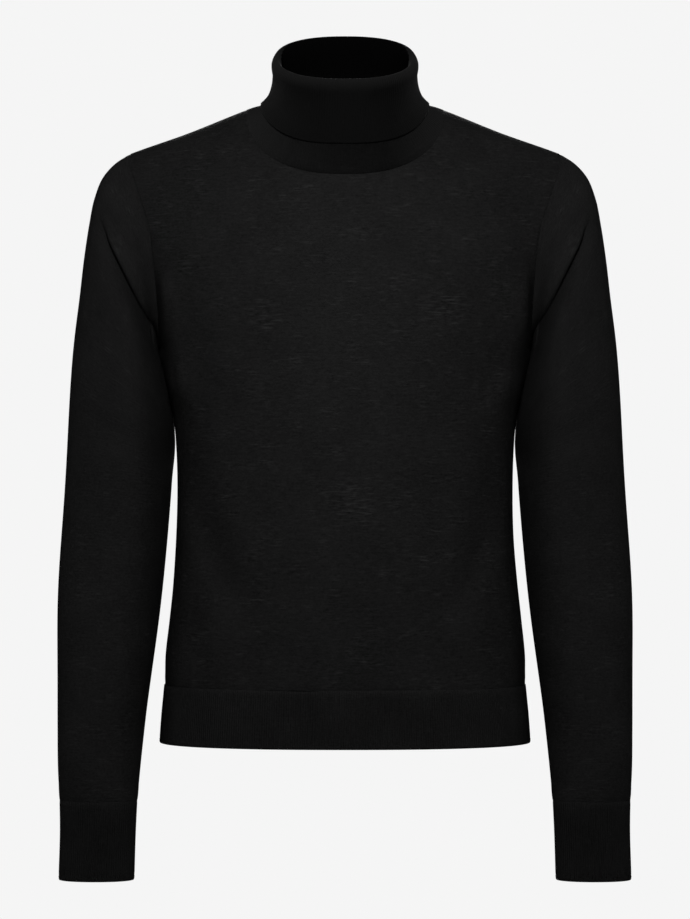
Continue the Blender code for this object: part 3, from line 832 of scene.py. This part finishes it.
def wall_skin(wall):
    """The wall's skin as a grid of rows: out from its first edge, over its last and back inside."""
    grid = wall.grid
    thickness = np.broadcast_to(wall.thickness, len(grid))
    half = wall.normals * thickness[:, None, None] / 2
    skins = []
    for side in (1, -1):
        normals = side * wall.normals
        last = edge_rows(grid, normals, thickness[-1], wall.radii[1])
        first = edge_rows(grid[::-1], normals[::-1], thickness[0], wall.radii[0])
        skins.append(np.array(first[::-1] + list((grid + side * half)[1:-1]) + last))
    outer, inner = skins
    return np.concatenate((outer, inner[::-1]))


def grid_faces(rows, columns, column_count):
    """Quads over columns of a grid whose rows close into a round and number its points."""
    row = np.arange(rows)[:, None]
    place = np.arange(columns)[None, :]
    here, after = row * column_count, (row + 1) % rows * column_count
    next_place = (place + 1) % column_count
    corners = (here + place, here + next_place, after + next_place, after + place)
    return np.stack(np.broadcast_arrays(*corners), axis=-1).reshape(-1, 4)


def side_faces(rows, columns):
    """Quads that close a wall's skin at its first and last columns."""
    row = np.arange(rows // 2 - 1)
    corners = np.stack((row, row + 1, rows - 2 - row, rows - 1 - row), axis=-1) * columns
    return np.concatenate((corners, corners[:, ::-1] + columns - 1))


def signed_volume(points, faces):
    """A number with the sign of the volume inside the faces: negative where they face inward."""
    first, second, third, fourth = (points[faces[:, corner]] for corner in range(4))
    return (np.cross(third - first, fourth - second) * (first + second + third + fourth)).sum()


def make_piece(name, node, wall, material):
    """A wall of cloth, as one closed mesh that stands for a CAD node."""
    skin = wall_skin(wall)
    rows, columns = skin.shape[:2]
    flat = np.pad(wall.knit, ((EDGE_EXTRA, EDGE_EXTRA), (0, 0), (0, 0)), mode="edge")
    flat = np.concatenate((flat, flat[::-1]))
    flat_columns = flat.shape[1]
    faces = grid_faces(rows, columns if wall.closed else columns - 1, columns)
    places = grid_faces(rows, flat_columns - 1, flat_columns)
    if not wall.closed:
        sides = side_faces(rows, columns)
        faces = np.concatenate((faces, sides))
        places = np.concatenate((places, sides))
    points = skin.reshape(-1, 3)
    if signed_volume(points, faces) < 0:
        faces, places = faces[:, ::-1], places[:, ::-1]
    mesh = bpy.data.meshes.new(name)
    mesh.from_pydata((points * MM).tolist(), [], faces.tolist())
    knit = mesh.uv_layers.new(name="knit")
    knit.data.foreach_set("uv", (flat.reshape(-1, 2)[places.ravel()] * MM).ravel())
    mesh.shade_smooth()
    mesh.materials.append(material)
    piece = bpy.data.objects.new(name, mesh)
    bpy.context.collection.objects.link(piece)
    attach(piece, "root")
    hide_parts(node)
    return piece


def srgb(code):
    """A linear colour from an sRGB hex code."""
    parts = [int(code[start : start + 2], 16) / 255 for start in (1, 3, 5)]
    linear = [part / 12.92 if part <= 0.04045 else ((part + 0.055) / 1.055) ** 2.4 for part in parts]
    return tuple(linear) + (1,)


def add_node(tree, kind, settings=(), inputs=()):
    """Adds a node, sets its own settings, and sets or links its inputs."""
    node = tree.nodes.new(kind)
    for name, value in dict(settings).items():
        setattr(node, name, value)
    for key, value in dict(inputs).items():
        if isinstance(value, bpy.types.NodeSocket):
            tree.links.new(value, node.inputs[key])
        else:
            node.inputs[key].default_value = value
    return node


def patch_noise(tree, flat, patches):
    """Noise on the flat knit with patches of a width and height, about 0.5."""
    scale = (1 / (patches.width * MM), 1 / (patches.height * MM), 1)
    stretched = add_node(
        tree, "ShaderNodeVectorMath", {"operation": "MULTIPLY"}, {0: flat, 1: scale}
    )
    noise = add_node(
        tree,
        "ShaderNodeTexNoise",
        {"noise_dimensions": "2D"},
        {
            "Vector": stretched.outputs[0],
            "Scale": 1,
            "Detail": patches.detail,
            "Roughness": PATCH_ROUGHNESS,
        },
    )
    return noise.outputs[0]


def from_spot(tree, flat, spot):
    """The distance from a spot's middle on the flat knit: 1 at the spot's edge."""
    middle = (spot.across * MM, spot.along * MM, 0)
    size = (spot.half_width * MM, spot.half_height * MM, 1)
    offset = add_node(tree, "ShaderNodeVectorMath", {"operation": "SUBTRACT"}, {0: flat, 1: middle})
    share = add_node(
        tree, "ShaderNodeVectorMath", {"operation": "DIVIDE"}, {0: offset.outputs[0], 1: size}
    )
    length = add_node(
        tree, "ShaderNodeVectorMath", {"operation": "LENGTH"}, {0: share.outputs[0]}
    )
    return length.outputs["Value"]


def spot_sums(distance, gain, result):
    """The sums that add a spot to a result, where distance is that from its middle."""
    return [
        ("within", "SUBTRACT", 1, distance),
        ("spot", "MAXIMUM", "within", 0),
        (result, "MULTIPLY_ADD", "spot", gain, result),
    ]


def knit_sums(tree, flat, knit):
    """The sums that draw a knit, in order: what each gives, its operation and what goes into it.

    What goes in is a number, another node's output, or the name of what an earlier sum gave. across
    and along are the place on the flat knit.
    """
    sums = [
        ("wales", "DIVIDE", "across", knit.wale * MM),
        ("courses", "DIVIDE", "along", COURSE * MM),
        ("aside", "PINGPONG", "wales", HALF_WALE),
        ("leg_place", "MULTIPLY_ADD", "aside", LEG_LEAN, "courses"),
        ("leg_turn", "MULTIPLY", "leg_place", 2 * np.pi),
        ("leg_along", "SINE", "leg_turn"),
        ("aside_turn", "MULTIPLY", "aside", 2 * np.pi),
        ("leg_across", "SINE", "aside_turn"),
        ("stitch", "MULTIPLY_ADD", "leg_along", LEG_RELIEF, "leg_across"),
    ]
    for name, patches in PATCHES.items():
        sums.append((name, "SUBTRACT", patch_noise(tree, flat, patches), NOISE_MEAN))
    sums += [
        ("height", "MULTIPLY_ADD", "mottle", MOTTLE_BUMP, "stitch"),
        ("streaks", "SUBTRACT", "streaks", STREAK_FLOOR),
        ("streaks", "MAXIMUM", "streaks", 0),
        ("clusters", "MULTIPLY_ADD", "clusters", CLUSTER_GAIN, CLUSTER_MIDDLE),
        ("clusters", "MAXIMUM", "clusters", CLUSTER_FLOOR),
    ]
    # Painted highlights: light streaks are made to gather at these spots
    for spot in knit.spots:
        sums += spot_sums(from_spot(tree, flat, spot), PAINTED_HIGHLIGHT_GAIN, "clusters")
    sums += [
        ("clustered", "MULTIPLY", "streaks", "clusters"),
        ("shade", "MULTIPLY_ADD", "clustered", STREAK_GAIN * knit.streak * knit.grain, knit.shade),
        ("mottling", "MULTIPLY_ADD", "clusters", MOTTLE_GAIN, MOTTLE_FLOOR),
        ("mottled", "MULTIPLY", "mottle", "mottling"),
        ("shade", "MULTIPLY_ADD", "mottled", knit.streak * knit.grain, "shade"),
        ("shade", "MULTIPLY_ADD", "broad", BROAD_GAIN * knit.grain, "shade"),
        ("shade", "MULTIPLY_ADD", "fine", FINE_GAIN * knit.grain, "shade"),
        ("shade", "MULTIPLY_ADD", "stitch", STITCH_GAIN * knit.grain, "shade"),
    ]
    # Painted light: each held spot lightens the colour where light falls on the cloth
    for amount, spot in knit.held:
        sums += spot_sums(from_spot(tree, flat, spot), amount, "shade")
    if knit.seam:
        sums.append(("from_seam", "DIVIDE", "along", SEAM_STRETCH * MM))
        sums += spot_sums("from_seam", knit.seam, "shade")
    return sums


def knit_material(name, knit):
    """Worsted merino knitted into a fine cloth, dyed black.

    The yarn's evenness changes along a course, which mottles the cloth and gives it faint light
    streaks. Where a knit gives them, painted light and painted highlights lighten its colour as well.
    Loose fibre ends catch light at a grazing angle, which is the sheen.
    """
    material = bpy.data.materials.new(name)
    material.use_nodes = True
    tree = material.node_tree
    flat = add_node(tree, "ShaderNodeUVMap", {"uv_map": "knit"}).outputs[0]
    place = add_node(tree, "ShaderNodeSeparateXYZ", (), {0: flat})
    values = {"across": place.outputs[0], "along": place.outputs[1]}
    for result, operation, *sources in knit_sums(tree, flat, knit):
        inputs = {number: values.get(source, source) for number, source in enumerate(sources)}
        node = add_node(tree, "ShaderNodeMath", {"operation": operation}, inputs)
        values[result] = node.outputs[0]
    colour = add_node(
        tree,
        "ShaderNodeMix",
        {"data_type": "RGBA", "clamp_factor": True},
        {0: values["shade"], 6: srgb(knit.dark), 7: srgb(knit.light)},
    )
    bump = add_node(
        tree,
        "ShaderNodeBump",
        (),
        {"Strength": BUMP_STRENGTH, "Distance": knit.relief * MM, "Height": values["height"]},
    )
    shader = tree.nodes["Principled BSDF"]
    tree.links.new(colour.outputs[2], shader.inputs["Base Color"])
    tree.links.new(bump.outputs[0], shader.inputs["Normal"])
    shader.inputs["Roughness"].default_value = WOOL_ROUGHNESS
    shader.inputs["Specular IOR Level"].default_value = knit.specular
    shader.inputs["Sheen Weight"].default_value = knit.sheen
    shader.inputs["Sheen Roughness"].default_value = FIBRE_ROUGHNESS
    return material


def sleeve_cloth(loop, loop_normals):
    """The left sleeve's grid and normals. On the seam it takes and gives the armhole's normals."""
    keys = sleeve_keys()
    cap_end = keys[CAP_END_RING]
    cap = np.linspace(0, cap_end, CAP_ROWS + 1)
    arm = np.linspace(cap_end, keys[CUFF_TOP_RING] + SEAM_LAP / 2, ARM_ROWS + 1)[1:]
    grid = sleeve_grid(np.concatenate((cap, arm)), loop)
    lap_over(grid)
    normals = normals_of(grid, True, 1)
    meet(normals[0], loop_normals)
    half = len(loop) // 2
    return np.roll(grid, half, axis=1), np.roll(normals, half, axis=1)


def cuff_cloth(loop):
    """The left cuff's grid and normals, with a whole number of ribs around it."""
    keys = sleeve_keys()
    rows = rows_to_edge(keys[CUFF_TOP_RING] - SEAM_LAP / 2, keys[-1], CUFF_ROWS)
    grid = np.roll(sleeve_grid(rows, loop), len(loop) // 2, axis=1)
    ribs = whole_ribs(grid[0], 1)
    grid = np.array([evenly(row, ribs * RIB_STEPS, True) for row in grid])
    return grid, normals_of(grid, True, 1)


def sleeve_pieces(loop, loop_normals, jersey, rib):
    """Both sleeves with their cuffs."""
    sleeve, normals = sleeve_cloth(loop, loop_normals)
    top, bottom = row_distances(sleeve, 0), row_distances(sleeve, -1)
    shape = SLEEVE_LINK * relief(top, LINKED_EDGE) * above_chest(sleeve) + blouse(bottom)
    sleeve_map = round_map(sleeve)
    cuff, cuff_normals = cuff_cloth(loop)
    ridged = ribbed(cuff, cuff_normals, 0)
    cuff_map = rib_map(cuff, True, 0)
    for side, mirror, folds in (("left", 1, SLEEVE_LEFT_FOLDS), ("right", -1, SLEEVE_RIGHT_FOLDS)):
        flip = np.array([mirror, 1, 1])
        shaped = sleeve + shape[..., None] * normals
        shaped = folded(shaped, normals, folds, freedom(top, SLEEVE_FREE))
        radii = (SEAM_ROUND, SEAM_ROUND)
        wall = Wall(shaped * flip, normals * flip, True, JERSEY, radii, sleeve_map)
        node = "sleeve_" + side
        make_piece(
            node + "_knit", node, wall, jersey
        )
        radii = (SEAM_ROUND, RIB / 2)
        wall = Wall(ridged * flip, cuff_normals * flip, True, RIB, radii, cuff_map)
        node = "cuff_" + side
        make_piece(node + "_rib", node, wall, rib)


def collar_lines(ring):
    """The lines of the collar from the neckline on, each evenly spaced from the back's middle."""
    angles = np.arange(len(ring)) * 2 * np.pi / len(ring)
    lines = np.array([ring] + [hoop_points(hoop, angles) for hoop in COLLAR])
    lap_over(lines)
    back_middle = 3 * len(ring) // 4
    lines = np.roll(lines, -back_middle, axis=1)
    ribs = whole_ribs(lines[CREST], 2)  # so a crest lies on the middle of the back and the front
    return np.array([evenly(line, ribs * RIB_STEPS, True) for line in lines])


def collar_zones(piece, columns):
    """Gives each face of the collar its material: 0 on its base, 1 turned over or 2 inside the neck.

    The skin that is outside on the base lies hidden once it is turned over. The other one is the
    neck's inside up to the rim, and the turned-over part's outside past it. The inside's material is
    painted shade, and the turned-over part's has painted light.
    """
    rows = len(piece.data.vertices) // columns
    face_rows, face_columns = np.divmod(np.arange(len(piece.data.polygons)), columns)
    grid_rows = rows - 1 - EDGE_EXTRA - face_rows
    crest_row = COLLAR_ROWS[0] + COLLAR_ROWS[1] // 2
    turn = 2 * np.pi * face_columns / columns
    at_sides, at_back = abs(np.sin(turn)), np.maximum(np.cos(turn), 0)
    rim = RIM_ROWS + RIM_MORE_AT_SIDES * at_sides - RIM_LESS_AT_BACK * at_back
    # Zone 2 takes the inside's painted shade, zone 1 the turned-over part's painted light
    zones = np.where(face_rows < rows // 2, 0, np.where(grid_rows > crest_row - rim, 1, 2))
    piece.data.polygons.foreach_set("material_index", zones.astype(np.int32))


def collar_piece(ring, base, turnover, inside):
    """The collar: one rib tube that turns over at the top."""
    lines = collar_lines(ring)
    keys = row_distances(lines, 0).mean(axis=1)
    up, over, down = COLLAR_ROWS
    rising = np.linspace(0, keys[ROLL_START], up + 1)
    rolling = np.linspace(keys[ROLL_START], keys[ROLL_END], over + 1)
    falling = rows_to_edge(keys[ROLL_END], keys[-1], down)
    places = np.concatenate((rising, rolling[1:], falling[1:]))
    grid = smooth(keys, lines, places)
    normals = normals_of(grid, True, -1)
    columns = grid.shape[1]
    at_middle = abs(np.cos(2 * np.pi * np.arange(columns) / columns))
    link = relief(row_distances(grid, 0), COLLAR_LINK)
    link = link * np.clip(at_middle, LEAST_COLLAR_LINK, 1) ** 2
    shaped = grid + (link + COLLAR_UNEVEN * uneven(grid))[..., None] * normals
    shaped = ribbed(shaped, normals, 0, COLLAR_RELIEF)
    thickness = RIB - (RIB - COLLAR_EDGE) * fade_out((keys[-1] - places) / COLLAR_THINNING)
    wall = Wall(shaped, normals, True, thickness, (SEAM_ROUND, RIB / 2), rib_map(grid, True, 0))
    piece = make_piece(
        "collar_rib", "collar", wall, base
    )
    piece.data.materials.append(turnover)
    piece.data.materials.append(inside)
    collar_zones(piece, columns)


def panel_piece(name, grid, normals, jersey):
    """The front or the back above its rib."""
    from_hem, from_neck = row_distances(grid, 0), row_distances(grid, -1)
    run = run_along(grid, 1)
    from_side = np.minimum(run, run[:, -1:] - run)
    at_front = fade_out((abs(grid[..., 0]) - NECK_FRONT_X) / NECK_FRONT_FADE)
    neck_link = NECK_SIDE_LINK + NECK_FRONT_LINK * at_front
    shape = neck_link * relief(from_neck, LINKED_EDGE) + blouse(from_hem)
    shape = shape + SIDE_LINK * relief(from_side, LINKED_EDGE) * above_chest(grid)
    shape = shape + armpit_bulge(grid)
    hold = freedom(from_hem, HEM_FREE) * freedom(from_neck, NECK_FREE)
    hold = hold * freedom(from_side, SIDE_FREE)
    shaped = folded(grid + shape[..., None] * normals, normals, BODY_FOLDS, hold)
    radii = (SEAM_ROUND, SEAM_ROUND)
    wall = Wall(shaped, normals, False, JERSEY, radii, panel_map(grid, name))
    make_piece(name + "_knit", name, wall, jersey)


def hem_piece(name, grid, normals, rib):
    """The rib at the bottom of the front or the back."""
    ridged = ribbed(grid, normals, -1)
    wall = Wall(ridged, normals, False, RIB, (RIB / 2, SEAM_ROUND), rib_map(grid, False, -1))
    node = "hem_rib_" + name
    make_piece(node + "_knit", node, wall, rib)


def make_camera():
    """A long lens in front, level with the chest."""
    data = bpy.data.cameras.new("camera")
    data.lens = data.sensor_width / 2 * CAMERA_DISTANCE / CAMERA_HALF_VIEW
    camera = bpy.data.objects.new("camera", data)
    camera.location = (0, -CAMERA_DISTANCE, CAMERA_LEVEL)
    camera.rotation_euler = (np.pi / 2, 0, 0)
    bpy.context.collection.objects.link(camera)
    bpy.context.scene.camera = camera


def make_soft_box(box):
    """A soft box that faces its target."""
    data = bpy.data.lights.new(box.name, "AREA")
    data.shape = "RECTANGLE"
    data.size, data.size_y = box.size
    data.energy = box.power
    data.spread = np.radians(box.spread)
    light = bpy.data.objects.new(box.name, data)
    direction = np.array(box.target) - np.array(box.place)
    light.location = box.place
    yaw = np.arctan2(direction[0], -direction[1])
    tilt = np.arctan2(np.hypot(direction[0], direction[1]), -direction[2])
    light.rotation_euler = (tilt, 0, yaw + np.pi)
    bpy.context.collection.objects.link(light)


def make_walls():
    """Plain pale walls all around, which the camera sees but which hardly light the sweater."""
    world = bpy.data.worlds.new("pale_studio")
    bpy.context.scene.world = world
    world.use_nodes = True
    tree = world.node_tree
    tree.nodes.clear()
    dim = add_node(tree, "ShaderNodeBackground", (), {0: srgb(WALL_COLOUR), 1: WALL_LIGHT})
    seen = add_node(tree, "ShaderNodeBackground", (), {0: srgb(WALL_COLOUR), 1: 1.0})
    path = add_node(tree, "ShaderNodeLightPath")
    mix = add_node(
        tree,
        "ShaderNodeMixShader",
        (),
        {0: path.outputs["Is Camera Ray"], 1: dim.outputs[0], 2: seen.outputs[0]},
    )
    add_node(tree, "ShaderNodeOutputWorld", (), {0: mix.outputs[0]})


def make_floor():
    """A round floor well below the sweater, in matt white paint, which gives it a plain pale grey."""
    paint = bpy.data.materials.new("matt_white_floor_paint")
    paint.use_nodes = True
    shader = paint.node_tree.nodes["Principled BSDF"]
    shader.inputs["Base Color"].default_value = srgb(FLOOR_COLOUR)
    shader.inputs["Roughness"].default_value = FLOOR_ROUGHNESS
    around = np.linspace(0, 2 * np.pi, FLOOR_SIDES + 1)[:-1]
    levels = np.full(FLOOR_SIDES, FLOOR_LEVEL)
    points = np.stack((FLOOR_RADIUS * np.cos(around), FLOOR_RADIUS * np.sin(around), levels), axis=-1)
    mesh = bpy.data.meshes.new("floor")
    mesh.from_pydata(points.tolist(), [], [list(range(FLOOR_SIDES))])
    mesh.materials.append(paint)
    floor = bpy.data.objects.new("floor", mesh)
    bpy.context.collection.objects.link(floor)


def main():
    """Makes every piece, the camera and the studio."""
    cloths = {name: knit_material(name, knit) for name, knit in KNITS.items()}
    rib = cloths["merino_rib_black"]
    grids, normals = body_grids()
    loop = armhole_loop(grids["front"], grids["back"])
    loop_normals = armhole_loop(normals["front"], normals["back"])
    sleeve_pieces(loop, loop_normals, cloths["merino_jersey_black_relaxed"], rib)
    set_armhole_loop(normals["front"], normals["back"], loop_normals)
    collar_piece(
        neckline(grids["front"], grids["back"]),
        cloths["merino_rib_black_neck_painted_shade_and_light"],
        cloths["merino_rib_black_double_painted_highlights"],
        cloths["merino_rib_black_inside_painted_shade"],
    )
    for name in ("front", "back"):
        panel_piece(name, grids[name], normals[name], cloths["merino_jersey_black"])
        hem = "hem_rib_" + name
        hem_piece(name, grids[hem], normals[hem], rib)
    make_camera()
    for box in SOFT_BOXES:
        make_soft_box(box)
    make_walls()
    make_floor()
    bpy.context.scene.view_settings.view_transform = "Standard"


main()
